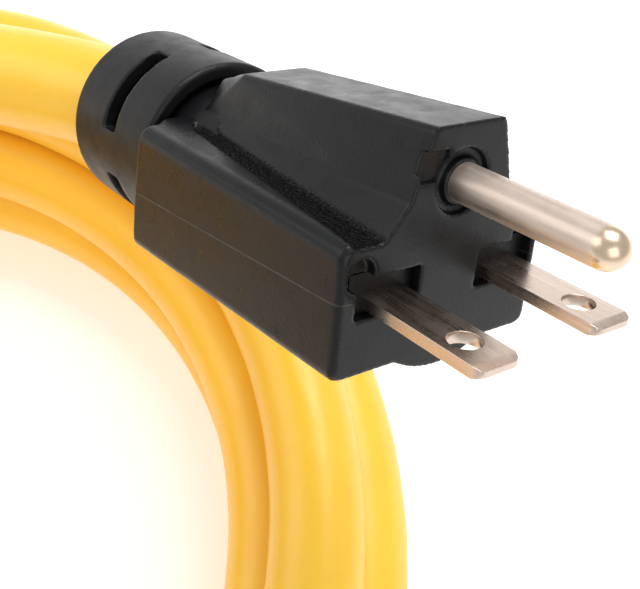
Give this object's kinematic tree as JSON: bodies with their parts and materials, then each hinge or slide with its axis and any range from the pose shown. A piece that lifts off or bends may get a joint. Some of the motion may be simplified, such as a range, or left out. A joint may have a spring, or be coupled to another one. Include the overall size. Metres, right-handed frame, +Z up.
{
  "type": "shore power cord",
  "caption": "Coiled yellow shore power cord with a black moulded plug, coplanar flat blades and a round ground pin, slotted strain relief, and a locking connector with a threaded ring.",
  "frame": {"origin": "on the floor at the centre of the coil", "axes": "+Z up from the floor the coil lies on, +X the level heading of the plug, +Y to the left of it"},
  "size_m": [0.2956, 0.324, 0.1448],
  "materials": {
    "black_pvc": "satin, fine moulded grain",
    "black_insulator": "matt",
    "nickel_brass": "bright, nickel-washed brass",
    "yellow_jacket": "smooth semi-gloss jacket",
    "tie_webbing": "woven hook-and-loop",
    "brass_contact": "stamped",
    "grey_rubber": "matt",
    "black_nylon": "satin, light grain",
    "spring_steel": "drawn",
    "core_black": "smooth",
    "core_white": "smooth",
    "core_green": "smooth",
    "copper_strand": "bare stranded copper"
  },
  "bodies": {
    "cord": {"plug_overmould": "black_pvc", "prong_bridge": "black_insulator", "line_blade_1": "nickel_brass", "line_blade_2": "nickel_brass", "ground_pin": "nickel_brass", "strain_relief_collar": "black_pvc", "plug_core_black": "core_black", "plug_core_white": "core_white", "plug_core_green": "core_green", "plug_copper_black": "copper_strand", "plug_copper_white": "copper_strand", "plug_copper_green": "copper_strand", "cord_lead": "yellow_jacket", "cord_coil": "yellow_jacket", "cord_tail": "yellow_jacket", "coil_tie": "tie_webbing", "connector_boot": "black_pvc", "connector_shell": "black_pvc", "connector_face": "black_insulator", "line_contact_1": "brass_contact", "line_contact_2": "brass_contact", "ground_contact": "brass_contact", "connector_core_black": "core_black", "connector_core_white": "core_white", "connector_core_green": "core_green", "connector_copper_black": "copper_strand", "connector_copper_white": "copper_strand", "connector_copper_green": "copper_strand", "face_gasket": "grey_rubber"},
    "ring": {"lock_ring": "black_nylon", "ring_clip": "spring_steel"}
  },
  "joints": [
    {"name": "lock_ring_turn", "type": "hinge", "parent": "cord", "child": "ring", "pos_m": [0.1166, -0.16, 0.0315], "axis": [1, 0, 0], "continuous": true}
  ]
}
